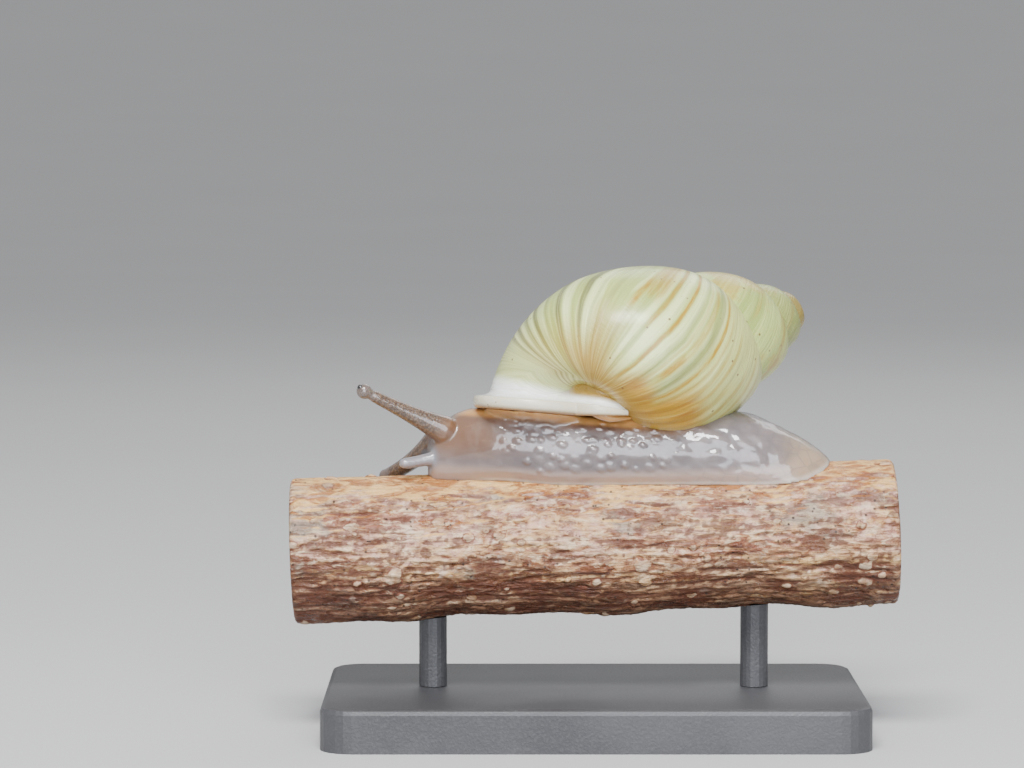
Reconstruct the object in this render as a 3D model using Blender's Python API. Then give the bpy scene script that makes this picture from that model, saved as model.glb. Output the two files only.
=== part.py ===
"""Striped tree snail, life size, crawling along a cut length of branch on a display stand.

Metres, +Z up. The snail faces -X and its left side faces -Y. The origin is the centre of the
underside of the stand's base. Lengths below are in millimetres and are scaled by MM.
"""
import bpy
import bmesh
from math import sin, cos, tan, pi, radians, exp, sqrt, log
from mathutils import Vector

MM = 0.001
GAP = 0.03                      # clearance between neighbouring nodes

# Shell: a right-handed coil. Turns t are counted back from the aperture towards the apex.
APEX = Vector((11.43, 4.59, 19.94))   # where the coil's axis would end if it never stopped
AXIS_TURN = radians(27.95)      # axis swings from +X towards +Y
AXIS_RISE = radians(15.83)      # and climbs
END_ANGLE = radians(-73.32)     # place of the aperture round the axis
WIDENING, SLOWING = 0.5114, 0.0377    # growth per turn (logarithm), easing off with age
DRAWN_OUT = 1.035               # the coil lengthens a little faster than it widens
TUBE_A, TUBE_B = 2.984, 5.102   # half sizes of the tube's oval section, outwards and along
TUBE_TILT = radians(-11.2)
TUBE_POWER, TUBE_SLANT = 1.744, -0.192   # roundness of the oval, and its heavier lower half
TUBE_R, TUBE_Z = 2.26, -12.677  # centre of the section at the aperture: radius, height
FULL_AT, FULL_SPAN = 1.33, 0.4675     # the penultimate whorl is fuller than the law,
FULLER, FULLER_OUT = 0.20, 0.0586     # in its section and its distance from the axis,
TAPER_AT, TAPER = 1.9, 0.0637   # and the tip of the spire is slimmer
AXIS_CLEAR = 0.22               # the inner wall stays off the axis
NUCLEUS, APEX_END = 3.50, 4.69  # the tube closes between these turns
WHORLS = (("shell_body_whorl", "shell", None, 0.80, 24, 24),
          ("shell_penultimate_whorl", "shell_old", 0.80, 1.72, 18, 17),
          ("shell_third_whorl", "shell_old", 1.72, 2.68, 18, 18),
          ("shell_fourth_whorl", "shell_tip", 2.68, 3.65, 16, 15),
          ("shell_apex", "shell_tip", 3.65, 4.61, 12, 12))

# Aperture: the last whorl stops at a plane; the lip flares from there to a rim plane.
MOUTH_AT, MOUTH_SLOPE, MOUTH_TILT = Vector((0.5, -1.5, 15.75)), -0.055, -0.15
RIM_AT, RIM_SLOPE, RIM_TILT = Vector((0.0, -1.5, 15.0)), -0.08, -0.09
LIP_FROM, LIP_TO = radians(84), radians(-135)
LIP_FLARE, LIP_THICK, RIM_THICK = 0.66, 0.30, 0.60
FOLD_TOP = (Vector((0.45, -3.62, 15.88)), Vector((1.46, -2.50, 15.38)))   # columellar fold
FOLD_RIM = (Vector((0.10, -3.88, 15.10)), Vector((1.52, -2.82, 15.06)))
CALLUS = Vector((0, 0.35, 0.75))       # how far the fold spreads up over the umbilicus
COLLAR_THICK = 0.28             # the mantle's rim, showing under the lip
COLLAR_PLUG, COLLAR_FLANGE, COLLAR_RISE = 0.84, 1.08, 0.35

# Branch and flesh.
PERCH_R, PERCH_LEN, PERCH_Z = 3.33, 28.0, 8.82
PERCH_RISE = radians(1.9)
# station along the body: x, half width of the sole, half width of the flank, top height
BODY = ((-7.72, 0.30, 0.42, 13.25), (-7.50, 0.82, 1.10, 13.75), (-7.10, 1.02, 1.42, 14.25),
        (-6.50, 1.12, 1.62, 14.68), (-5.70, 1.18, 1.84, 15.00), (-4.20, 1.30, 2.18, 15.40),
        (-2.00, 1.72, 2.46, 15.40), (1.00, 1.88, 2.56, 15.20), (4.50, 2.00, 2.52, 15.00),
        (7.00, 2.14, 2.44, 14.80), (8.23, 2.16, 2.28, 14.36), (9.49, 2.04, 2.02, 13.74),
        (10.42, 1.62, 1.50, 13.12), (10.85, 1.05, 0.95, 12.75), (11.00, 0.45, 0.40, 12.60))
FLANK_POWER, LEAN = 2.9, 0.25
ROOF_START, ROOF_END = -5.62, 1.9      # the back passes under the lip and collar between these
HEAD_END, NECK_END, FOOT_END = -6.35, -4.70, 7.20

# Feelers: base, tip, sag of the middle, radii at base, middle, neck of the knob, knob.
FEELERS = {
    "tentacle_upper_left": ((-6.95, -0.72, 14.05), (-10.62, -1.75, 15.92), 0.02,
                            (0.62, 0.43, 0.255, 0.34)),
    "tentacle_upper_right": ((-7.05, 0.72, 13.80), (-9.72, 2.95, 11.55), 0.20,
                             (0.62, 0.44, 0.36, 0.40)),
    "tentacle_lower_left": ((-7.20, -0.70, 12.80), (-8.80, -1.18, 12.54), 0.02,
                            (0.34, 0.28, 0.25, 0.245)),
    "tentacle_lower_right": ((-7.20, 0.52, 12.70), (-8.70, 0.60, 12.36), 0.02,
                             (0.34, 0.28, 0.25, 0.245)),
}
EYE_R = 0.15

# Display stand.
BASE_L, BASE_W, BASE_T = 25.0, 15.0, 2.0
ROD_R, ROD_X = 0.65, 7.5

for old in list(bpy.data.objects):
    bpy.data.objects.remove(old, do_unlink=True)

snail = bpy.data.collections.new("striped_tree_snail")
cutters = bpy.data.collections.new("cutters")
for group in (snail, cutters):
    bpy.context.scene.collection.children.link(group)


def material(name, colour, rough, coat=0.0, metallic=0.0):
    mat = bpy.data.materials.new(name)
    mat.use_nodes = True
    shader = mat.node_tree.nodes["Principled BSDF"]
    shader.inputs["Base Color"].default_value = (*colour, 1.0)
    shader.inputs["Roughness"].default_value = rough
    shader.inputs["Coat Weight"].default_value = coat
    shader.inputs["Metallic"].default_value = metallic
    mat.diffuse_color = (*colour, 1.0)
    return mat


MAT = {
    "shell": material("shell_body", (0.58, 0.56, 0.34), 0.35, 0.3),
    "shell_old": material("shell_penultimate", (0.48, 0.47, 0.27), 0.35, 0.3),
    "shell_tip": material("shell_spire", (0.40, 0.36, 0.18), 0.35, 0.3),
    "lip": material("shell_lip", (0.80, 0.78, 0.70), 0.35, 0.3),
    "collar": material("mantle", (0.55, 0.30, 0.17), 0.4, 0.3),
    "head": material("head_skin", (0.40, 0.27, 0.19), 0.4, 0.3),
    "neck": material("neck_skin", (0.42, 0.29, 0.21), 0.4, 0.3),
    "foot": material("foot_skin", (0.43, 0.39, 0.37), 0.4, 0.3),
    "tail": material("tail_skin", (0.52, 0.46, 0.38), 0.4, 0.3),
    "feeler": material("feeler_skin", (0.28, 0.21, 0.18), 0.4, 0.3),
    "eye": material("eye", (0.01, 0.01, 0.012), 0.15, 0.6),
    "perch": material("bark", (0.55, 0.38, 0.26), 0.8),
    "stand": material("stand", (0.05, 0.05, 0.055), 0.4),
}


def closed_loft(name, rings, group=snail, mat=None, caps=("flat", "flat")):
    """Solid through rings of points (mm). Caps are flat, or a pole at the ring's middle."""
    bm = bmesh.new()
    rows = [[bm.verts.new(Vector(p) * MM) for p in ring] for ring in rings]
    n = len(rows[0])
    for a, b in zip(rows, rows[1:]):
        for i in range(n):
            bm.faces.new((a[i], a[(i + 1) % n], b[(i + 1) % n], b[i]))
    for f in bm.faces:
        f.smooth = True
    for row, cap in ((rows[0], caps[0]), (rows[-1], caps[1])):
        if cap == "flat":
            bm.faces.new(row)
        else:
            mid = bm.verts.new(sum((v.co for v in row), Vector()) / n)
            for i in range(n):
                bm.faces.new((row[i], row[(i + 1) % n], mid)).smooth = True
    bmesh.ops.triangulate(bm, faces=[f for f in bm.faces if len(f.verts) > 4])
    bmesh.ops.recalc_face_normals(bm, faces=bm.faces)
    mesh = bpy.data.meshes.new(name)
    bm.to_mesh(mesh)
    bm.free()
    obj = bpy.data.objects.new(name, mesh)
    group.objects.link(obj)
    if mat:
        mesh.materials.append(MAT[mat])
    if group is cutters:
        obj.hide_render = True
        obj.display_type = "WIRE"
    return obj


def boolean(obj, other, operation="DIFFERENCE"):
    cut = obj.modifiers.new(other.name, "BOOLEAN")
    cut.object = other
    cut.operation = operation
    cut.solver = "EXACT"


# ---------------------------------------------------------------- shell
AXIS = Vector((cos(AXIS_RISE) * cos(AXIS_TURN), cos(AXIS_RISE) * sin(AXIS_TURN), sin(AXIS_RISE)))
AXIS_UP = (Vector((0, 0, 1)) - AXIS * AXIS.z).normalized()
AXIS_SIDE = AXIS.cross(AXIS_UP)


def signed_power(value, power):
    return abs(value) ** power * (1 if value >= 0 else -1)


def tube_point(t, phi, grow=0.0):
    """Point on the coiled tube, t turns from the aperture, phi round its section."""
    size = exp(-WIDENING * t + SLOWING * t * t)
    drawn = size ** DRAWN_OUT
    slim = exp(-TAPER * max(0.0, t - TAPER_AT) ** 2)
    if t > NUCLEUS:
        slim *= sqrt(max(1.0 - ((t - NUCLEUS) / (APEX_END - NUCLEUS)) ** 2, 0.0))
    full = exp(-((t - FULL_AT) / FULL_SPAN) ** 2)
    across = signed_power(cos(phi), 2 / TUBE_POWER)
    along = signed_power(sin(phi), 2 / TUBE_POWER)
    u = (TUBE_A * size * slim * (1 + FULLER * full) + grow) * across * (1 + TUBE_SLANT * along)
    v = (TUBE_B * drawn * slim + grow) * along
    radius = TUBE_R * size * slim * (1 + FULLER_OUT * full) + u * cos(TUBE_TILT) - v * sin(TUBE_TILT)
    height = TUBE_Z * drawn + u * sin(TUBE_TILT) + v * cos(TUBE_TILT)
    clear = AXIS_CLEAR * size * slim * (0.6 if grow else 1.0)
    radius = (radius + sqrt(radius * radius + 4 * clear * clear)) / 2
    turn = END_ANGLE + 2 * pi * t
    return APEX + AXIS * height + (AXIS_UP * cos(turn) + AXIS_SIDE * sin(turn)) * radius


def above_mouth(p):
    return p.z - MOUTH_AT.z - MOUTH_SLOPE * (p.x - MOUTH_AT.x) - MOUTH_TILT * (p.y - MOUTH_AT.y)


def rim_height(x, y):
    return RIM_AT.z + RIM_SLOPE * (x - RIM_AT.x) + RIM_TILT * (y - RIM_AT.y)


def mouth_turn(phi):
    """Turn at which the tube meets the plane of the aperture."""
    low, high = -0.17, 0.10
    if above_mouth(tube_point(low, phi)) > 0:
        return low
    for _ in range(30):
        mid = (low + high) / 2
        if above_mouth(tube_point(mid, phi)) > 0:
            high = mid
        else:
            low = mid
    return high


def whorl(name, first, last, around, steps, grow=0.0, group=snail, mat=None):
    rings = []
    for k in range(steps + 1):
        ring = []
        for i in range(around):
            phi = 2 * pi * i / around
            start = mouth_turn(phi) - grow * 0.02 if first is None else first
            ring.append(tube_point(start + (last - start) * k / steps, phi, grow))
        rings.append(ring)
    return closed_loft(name, rings, group, mat, ("pole", "pole"))


shell = [whorl(name, first, last - 0.001, around, steps, mat=mat)
         for name, mat, first, last, around, steps in WHORLS]
shell_cutters = [whorl(name + "_cutter", first, last + 0.004, around, steps, GAP, cutters)
                 for name, mat, first, last, around, steps in WHORLS]
for k, turn in enumerate(shell):
    for older in shell_cutters[k + 1:k + 3]:
        boolean(turn, older)


# ---------------------------------------------------------------- lip and mantle collar
def mouth_ring(phi):
    return tube_point(mouth_turn(phi), phi)


MOUTH_MID = sum((mouth_ring(2 * pi * i / 24) for i in range(24)), Vector()) / 24


def outwards(phi):
    """Level direction out of the aperture, square to its edge."""
    along = mouth_ring(phi + 0.05) - mouth_ring(phi - 0.05)
    out = Vector((along.y, -along.x, 0)).normalized()
    return out if out.dot(mouth_ring(phi) - MOUTH_MID) > 0 else -out


def bend(start, control, end, w):
    return start * (1 - w) ** 2 + control * (2 * w * (1 - w)) + end * w ** 2


def lip_section(top, rim, out, stout=1.0, callus=0.0):
    """Section of the flared lip: its outer face from the whorl to the rim, then back inside."""
    reach = Vector((rim.x - top.x, rim.y - top.y, 0))
    drop = top.z - rim_height(rim.x, rim.y) - RIM_THICK * stout / 2
    inner = top - out * LIP_THICK - Vector((0, 0, GAP))
    ring = [top - out * 0.1 + CALLUS * callus - Vector((0, 0, GAP))]
    for k in range(5):
        turn = pi / 2 * k / 4
        ring.append(top + reach * (1 - cos(turn)) - Vector((0, 0, GAP + drop * sin(turn))))
    edge = ring[-1]
    for step, fall in ((0.13, 0.30), (0.12, 0.70), (-0.02, 1.0), (-0.47, 0.85)):
        ring.append(edge + out * step * stout - Vector((0, 0, RIM_THICK * stout * fall)))
    ring.append(inner - Vector((0, 0, drop * 0.45)))
    ring.append(inner + CALLUS * callus)
    return ring


LIP_STEPS, FOLD_STEPS = 22, 7
lip_rings = []
for k in range(LIP_STEPS + 1):
    phi = LIP_FROM + (LIP_TO - LIP_FROM) * k / LIP_STEPS
    stout = sin(pi / 2 * min(1.0, 0.3 + k / 7))
    callus = max(0.0, k / LIP_STEPS * 4 - 3)
    lip_rings.append(lip_section(mouth_ring(phi), mouth_ring(phi) + outwards(phi) * LIP_FLARE * stout,
                                 outwards(phi), stout, callus))
for k in range(1, FOLD_STEPS + 1):
    w = k / FOLD_STEPS
    fold = (bend(mouth_ring(LIP_TO), *FOLD_TOP, w),
            bend(mouth_ring(LIP_TO) + outwards(LIP_TO) * LIP_FLARE, *FOLD_RIM, w))
    slimmer = 1 - 0.62 * w ** 1.5
    lip_rings.append(lip_section(*fold, (outwards(LIP_TO) * (1 - w) + Vector((0, -w, 0))) * slimmer,
                                 slimmer, 1 - w))
lip = closed_loft("shell_lip", lip_rings, mat="lip")
for turn in shell_cutters[:2]:
    boolean(lip, turn)


def collar_ring(scale, height):
    ring = []
    near, far = mouth_ring(LIP_FROM), mouth_ring(radians(205))
    for i in range(28):
        phi = 2 * pi * i / 28
        w = (phi - LIP_FROM) / (radians(205) - LIP_FROM)
        edge = near.lerp(far, w) if 0 < w < 1 else mouth_ring(phi)
        p = MOUTH_MID + (edge - MOUTH_MID) * scale
        p.z = height(p)
        ring.append(p)
    return ring


RIM_FOOT = RIM_THICK / 2 + GAP


def collar_solid(name, grow, group, mat=None):
    """Plug of mantle in the aperture, with a flange that shows under the lip."""
    plug, flange = COLLAR_PLUG + grow / 3, COLLAR_FLANGE + grow / 3
    return closed_loft(name, (
        collar_ring(plug, lambda p: rim_height(p.x, p.y) + COLLAR_RISE + grow),
        collar_ring(plug, lambda p: rim_height(p.x, p.y) - RIM_FOOT + grow),
        collar_ring(flange, lambda p: rim_height(p.x, p.y) - RIM_FOOT + grow),
        collar_ring(flange, lambda p: rim_height(p.x, p.y) - RIM_FOOT - COLLAR_THICK - grow)),
        group, mat, ("pole", "pole"))


collar = collar_solid("mantle_collar", 0.0, snail, "collar")
collar_cutter = collar_solid("mantle_collar_cutter", GAP, cutters)
for turn in shell_cutters[:2]:
    boolean(collar, turn)


# ---------------------------------------------------------------- branch
def perch_axis(x):
    return PERCH_Z + x * tan(PERCH_RISE)


def perch_top(x, y):
    """Height of the branch's upper surface."""
    return perch_axis(x) + sqrt(PERCH_R ** 2 - y * y) / cos(PERCH_RISE)


def perch_ring(x, grow=0.0, around=28):
    ring = []
    for i in range(around):
        a = 2 * pi * i / around
        under = (1 - cos(a)) / 2
        r = PERCH_R + grow + under * (0.10 * sin(0.55 * x + 1.0) + 0.07 * sin(1.3 * x + 2 * a))
        lean = r * cos(a) * sin(PERCH_RISE)
        ring.append(Vector((x - lean, r * sin(a), perch_axis(x) + r * cos(a) * cos(PERCH_RISE))))
    return ring


PERCH_STEPS = 10
HALF = PERCH_LEN / 2
perch = closed_loft("perch", [perch_ring(-HALF + PERCH_LEN * k / PERCH_STEPS)
                              for k in range(PERCH_STEPS + 1)], mat="perch")
perch_cutter = closed_loft("perch_cutter", [perch_ring(-HALF + PERCH_LEN * k / PERCH_STEPS, GAP)
                                            for k in range(PERCH_STEPS + 1)], cutters)


# ---------------------------------------------------------------- flesh
def ease(table, x, column):
    """Smooth curve through a column of the body's stations."""
    i = max(k for k in range(len(table) - 1) if table[k][0] <= x + 1e-9)
    (x0, y0), (x1, y1) = [(row[0], row[column]) for row in table[i:i + 2]]
    before = table[max(i - 1, 0)]
    after = table[min(i + 2, len(table) - 1)]
    m0 = (y1 - before[column]) / (x1 - before[0])
    m1 = (after[column] - y0) / (after[0] - x0)
    w, span = (x - x0) / (x1 - x0), x1 - x0
    return (y0 * (1 + 2 * w) * (1 - w) ** 2 + m0 * span * w * (1 - w) ** 2
            + y1 * w * w * (3 - 2 * w) + m1 * span * w * w * (w - 1))


def flesh_ring(x, grow=0.0, sides=14, sole=5):
    """Section of the body across X: flank, back, flank, then the hollowed sole."""
    half_sole = ease(BODY, x, 1)
    half = ease(BODY, x, 2) + grow
    top = ease(BODY, x, 3) + grow
    foot = perch_top(x, half_sole) + GAP
    ring = []
    for k in range(sides + 1):
        a = pi * (1 - k / sides)
        h = signed_power(sin(a), 2 / FLANK_POWER)
        spread = half_sole / half + (1 - half_sole / half) * min(1.0, h / 0.4) ** 0.7
        y = half * signed_power(cos(a), 2 / FLANK_POWER) * spread + LEAN * h
        z = foot + h * (top - foot)
        roof = rim_height(x, y) - RIM_FOOT - 1.5 * GAP + 4 * max(0.0, x - ROOF_END)
        roof -= COLLAR_THICK * min(1.0, max(0.0, (x - ROOF_START) / 0.4))
        ring.append(Vector((x, y, z if x < ROOF_START else min(z, roof))))
    for k in range(1, sole):
        y = half_sole * (1 - 2 * k / sole)
        ring.append(Vector((x, y, perch_top(x, y) + GAP)))
    return ring


def flesh(name, first, last, steps, mat, caps=("flat", "flat"), grow=0.0, group=snail):
    rings = [flesh_ring(first + (last - first) * k / steps, grow) for k in range(steps + 1)]
    return closed_loft(name, rings, group, mat, caps)


head = flesh("head", BODY[0][0], HEAD_END - GAP, 8, "head", ("pole", "flat"))
neck = flesh("neck", HEAD_END, NECK_END - GAP, 6, "neck")
foot = flesh("foot", NECK_END, FOOT_END - GAP, 16, "foot")
tail = flesh("tail", FOOT_END, BODY[-1][0], 10, "tail", ("flat", "pole"))
head_cutter = flesh("head_cutter", BODY[0][0], HEAD_END, 8, None, ("pole", "flat"), GAP, cutters)
boolean(foot, collar_cutter)
for part in (foot, tail):
    boolean(part, shell_cutters[0])


# ---------------------------------------------------------------- feelers and eyes
def round_ring(middle, direction, radius, around=10):
    side = direction.cross(Vector((0, 0, 1))).normalized()
    up = side.cross(direction).normalized()
    return [middle + (side * cos(2 * pi * i / around) + up * sin(2 * pi * i / around)) * radius
            for i in range(around)]


def feeler(name, base, tip, sag, radii):
    base, tip = Vector(base), Vector(tip)
    at_base, at_middle, at_neck, at_knob = radii
    rings = []
    length = (tip - base).length
    knob = at_knob / length
    for w in (0, 0.1, 0.22, 0.36, 0.52, 0.68, 0.82):
        u = w * (1 - 1.6 * knob) / 0.82
        r = at_neck + (at_middle - at_neck) * (1 - u) + (at_base - at_middle) * (1 - u) ** 4
        middle = base.lerp(tip, u) - Vector((0, 0, sag * sin(pi * u)))
        rings.append(round_ring(middle, tip - base, r))
    for k in range(5):
        a = radians(-48 + 126 * k / 4)
        middle = tip + (tip - base).normalized() * at_knob * sin(a)
        rings.append(round_ring(middle, tip - base, at_knob * cos(a)))
    return closed_loft(name, rings, mat="feeler", caps=("flat", "pole"))


def ball(name, middle, radius, group=snail, mat=None):
    rings = [[middle + Vector((cos(2 * pi * i / 12) * sin(b), sin(2 * pi * i / 12) * sin(b), cos(b)))
              * radius for i in range(12)] for b in [pi * k / 6 for k in range(1, 6)]]
    return closed_loft(name, rings, group, mat, ("pole", "pole"))


for name, (base, tip, sag, radii) in FEELERS.items():
    limb = feeler(name, base, tip, sag, radii)
    boolean(limb, head_cutter)
    if "upper" in name:
        side = -1 if name.endswith("left") else 1
        forward = (Vector(tip) - Vector(base)).normalized()
        look = (forward + Vector((0, side * 0.45, 0.55))).normalized()
        middle = Vector(tip) + look * (radii[3] - EYE_R * 0.62)
        ball(name.replace("tentacle_upper", "eye"), middle, EYE_R, mat="eye")
        boolean(limb, ball(name + "_socket", middle, EYE_R + 0.015, cutters))


# ---------------------------------------------------------------- display stand
def slab(name, length, width, height, rounding, mat):
    mesh = bpy.data.meshes.new(name)
    bm = bmesh.new()
    bmesh.ops.create_cube(bm, size=1.0)
    for v in bm.verts:
        v.co = Vector((v.co.x * length, v.co.y * width, (v.co.z + 0.5) * height)) * MM
    uprights = [e for e in bm.edges if abs(e.verts[0].co.z - e.verts[1].co.z) > height * MM / 2]
    bmesh.ops.bevel(bm, geom=uprights, offset=rounding * MM, segments=6, affect="EDGES",
                    profile=0.5)
    top_rim = [e for e in bm.edges if all(v.co.z > height * MM * 0.9 for v in e.verts)]
    bmesh.ops.bevel(bm, geom=top_rim, offset=0.25 * MM, segments=2, affect="EDGES", profile=0.5)
    bm.to_mesh(mesh)
    bm.free()
    mesh.materials.append(MAT[mat])
    obj = bpy.data.objects.new(name, mesh)
    snail.objects.link(obj)
    return obj


slab("stand_base", BASE_L, BASE_W, BASE_T, 1.5, "stand")
for name, x in (("stand_rod_front", -ROD_X), ("stand_rod_rear", ROD_X)):
    rings = [[Vector((x + ROD_R * cos(2 * pi * i / 20), ROD_R * sin(2 * pi * i / 20), z))
              for i in range(20)] for z in (BASE_T + GAP, perch_axis(x) - 1.0)]
    rod = closed_loft(name, rings, mat="stand")
    boolean(rod, perch_cutter)
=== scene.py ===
"""Looks of the striped tree snail display model: shell, skin, eyes, bark, stand, light, camera.

Lengths below are in millimetres and are scaled by MM; the frame itself is in metres.
"""
import random
from math import sin, cos, tan, pi, radians

import bpy
import bmesh
import numpy as np
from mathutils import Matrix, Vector, kdtree, noise


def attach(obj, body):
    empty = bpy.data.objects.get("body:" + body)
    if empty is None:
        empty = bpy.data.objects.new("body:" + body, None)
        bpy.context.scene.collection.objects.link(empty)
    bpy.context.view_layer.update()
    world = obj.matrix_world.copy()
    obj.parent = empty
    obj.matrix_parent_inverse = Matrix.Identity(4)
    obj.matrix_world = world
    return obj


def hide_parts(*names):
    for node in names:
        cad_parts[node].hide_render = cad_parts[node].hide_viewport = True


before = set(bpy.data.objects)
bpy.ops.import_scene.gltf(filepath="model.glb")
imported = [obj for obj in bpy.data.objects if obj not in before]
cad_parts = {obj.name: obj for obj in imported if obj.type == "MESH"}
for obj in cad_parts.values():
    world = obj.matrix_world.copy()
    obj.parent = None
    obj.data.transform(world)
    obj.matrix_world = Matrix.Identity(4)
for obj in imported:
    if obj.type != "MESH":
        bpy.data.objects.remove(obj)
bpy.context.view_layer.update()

MM = 0.001

# -------- sizes, as in the solids
APEX = np.array([11.43, 4.59, 19.94])
AXIS_TURN, AXIS_RISE = radians(27.95), radians(15.83)
END_ANGLE = radians(-73.32)
WIDENING, SLOWING = 0.5114, 0.0377
DRAWN_OUT = 1.035
TUBE_A, TUBE_B = 2.984, 5.102
TUBE_TILT = radians(-11.2)
TUBE_POWER, TUBE_SLANT = 1.744, -0.192
TUBE_R, TUBE_Z = 2.26, -12.677
FULL_AT, FULL_SPAN = 1.33, 0.4675
FULLER, FULLER_OUT = 0.2, 0.0586
TAPER_AT, TAPER = 1.9, 0.0637
AXIS_CLEAR = 0.22
NUCLEUS, APEX_END = 3.5, 4.69
MOUTH_AT, MOUTH_SLOPE, MOUTH_TILT = (0.5, -1.5, 15.75), -0.055, -0.15
RIM_AT, RIM_SLOPE, RIM_TILT = (0.0, -1.5, 15.0), -0.08, -0.09
LIP_FROM, LIP_TO = radians(84), radians(-135)
LIP_FLARE, LIP_THICK, RIM_THICK = 0.66, 0.3, 0.6
FOLD_TOP = ((0.45, -3.62, 15.88), (1.46, -2.5, 15.38))
FOLD_RIM = ((0.1, -3.88, 15.1), (1.52, -2.82, 15.06))
CALLUS = np.array([0, 0.35, 0.75])
COLLAR_PLUG, COLLAR_FLANGE, COLLAR_RISE = 0.84, 1.08, 0.35
PERCH_R, PERCH_LEN, PERCH_Z = 3.33, 28.0, 8.82
PERCH_RISE = radians(1.9)
BODY = ((-7.72, 0.3, 0.42, 13.25), (-7.5, 0.82, 1.1, 13.75), (-7.1, 1.02, 1.42, 14.25),
        (-6.5, 1.12, 1.62, 14.68), (-5.7, 1.18, 1.84, 15.0), (-4.2, 1.3, 2.18, 15.4),
        (-2.0, 1.72, 2.46, 15.4), (1.0, 1.88, 2.56, 15.2), (4.5, 2.0, 2.52, 15.0),
        (7.0, 2.14, 2.44, 14.8), (8.23, 2.16, 2.28, 14.36), (9.49, 2.04, 2.02, 13.74),
        (10.42, 1.62, 1.5, 13.12), (10.85, 1.05, 0.95, 12.75), (11.0, 0.45, 0.4, 12.6))
FLANK_POWER, LEAN = 2.9, 0.25
ROOF_START, ROOF_END = -5.62, 0.6
MANTLE_RUN, MANTLE_EARLY = 0.27, 0.12   # the roll's radius, and its start before the fold
FEELERS = {
    "upper_left": ((-6.95, -0.72, 14.05), (-10.62, -1.75, 15.92), 0.02, (0.64, 0.44, 0.265, 0.37)),
    "upper_right": ((-7.05, 0.72, 13.8), (-9.72, 2.95, 11.55), 0.2, (0.62, 0.44, 0.36, 0.4)),
    "lower_left": ((-7.2, -0.7, 12.8), (-8.8, -1.18, 12.54), 0.02, (0.34, 0.28, 0.25, 0.245)),
    "lower_right": ((-7.2, 0.52, 12.7), (-8.7, 0.6, 12.36), 0.02, (0.34, 0.28, 0.25, 0.245)),
}
EYE_R = 0.15

# -------- finer forms and marks
BODY_FROM, BODY_TO, SPIRE_TO = -0.08, 0.8, 4.685    # turns that the two sheets of the shell span
TUCK_FROM, TUCK_SPAN = 1.14, 0.3        # turns where the wall's lower edge comes up to the suture
LINE_LEAN, LINE_CURVE = 0.00085, 0.0000155          # growth lines, in turns per degree and its square
SWEEP_EASY, SWEEP_SHARP, SWEEP_END = 0.000019, 0.00778, 84    # and how they sweep back at the base
SWEEP_FROM, SWEEP_TO = 0.19, 0.375
SKIN_VOXEL = 0.068
FLANK = 2.6                             # half width over which heights above the branch are taken
TUBERCLE, TUBERCLE_LONG = 0.46, 1.3     # spacing of the skin's tubercles, and their stretch
TUBERCLE_HIGH, TUBERCLE_SLANT, TUBERCLE_SHIFT = 0.095, 0.35, 0.34
COARSER, COARSER_FROM, COARSER_TO = 1.75, 2.5, 4.5    # larger plates towards the tail
LENTICELS = 130
# Growth streaks: growth line, half width in turns, strength, and for OCHRE the degrees of the whorl
# between which they run
OCHRE = ((0.293, 0.005, 1.0, -10, 20), (0.296, 0.005, 0.6, 10, 70), (0.313, 0.015, 0.8, 8, 70),
         (0.341, 0.004, 0.85, -12, 60), (0.376, 0.0034, 1.0, -58, 70), (0.413, 0.003, 0.35, -60, 60),
         (0.429, 0.0055, 0.6, -14, 60), (0.428, 0.0065, 1.0, -27, -2), (0.466, 0.0034, 1.0, -62, 70),
         (0.482, 0.003, 0.5, -60, 50), (0.5, 0.004, 0.55, -40, 30), (0.52, 0.0035, 0.6, -62, 50),
         (0.545, 0.006, 0.6, -60, 20), (0.575, 0.005, 0.65, -60, 40), (0.61, 0.006, 0.6, -60, 60),
         (0.65, 0.006, 0.6, -60, 60), (0.7, 0.007, 0.6, -60, 60))
OLIVE = ((0.012, 0.0045, 0.6), (0.034, 0.005, 0.75), (0.058, 0.004, 0.55), (0.084, 0.005, 0.75),
         (0.112, 0.003, 0.3), (0.146, 0.006, 0.85), (0.202, 0.0065, 0.8), (0.228, 0.0035, 0.3),
         (0.253, 0.0045, 0.3), (0.4, 0.006, 0.35), (0.447, 0.008, 0.55))
WHITE = ((0.023, 0.0055, 0.75), (0.046, 0.006, 0.7), (0.071, 0.007, 0.65), (0.1, 0.008, 0.5),
         (0.166, 0.0085, 0.95), (0.219, 0.01, 0.8), (0.328, 0.006, 0.75), (0.357, 0.009, 0.9),
         (0.391, 0.008, 0.85), (0.414, 0.006, 0.55), (0.456, 0.003, 0.4))


# -------- mesh helpers
def add_object(name, data):
    obj = bpy.data.objects.new(name, data)
    bpy.context.scene.collection.objects.link(obj)
    return obj


def add_mesh(name, points, faces):
    mesh = bpy.data.meshes.new(name)
    mesh.from_pydata((np.asarray(points) * MM).tolist(), [], faces)
    mesh.polygons.foreach_set("use_smooth", [True] * len(mesh.polygons))
    mesh.update()
    return add_object(name, mesh)


def full_circle(parts):
    return np.linspace(0, 2 * pi, parts, endpoint=False)


def grid_faces(rows, columns, closed=False):
    """Quads over a grid of points, row by row; closed joins the last column to the first."""
    across = columns if closed else columns - 1
    i, j = np.meshgrid(np.arange(rows - 1), np.arange(across), indexing="ij")
    k = (j + 1) % columns
    return np.stack([i * columns + j, i * columns + k, (i + 1) * columns + k,
                     (i + 1) * columns + j], -1).reshape(-1, 4).tolist()


def paint(obj, **layers):
    """Stores numbers on the vertices, for the materials to read by name."""
    for name, values in layers.items():
        layer = obj.data.attributes.new(name, "FLOAT", "POINT")
        layer.data.foreach_set("value", np.asarray(values, np.float32).ravel())


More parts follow.
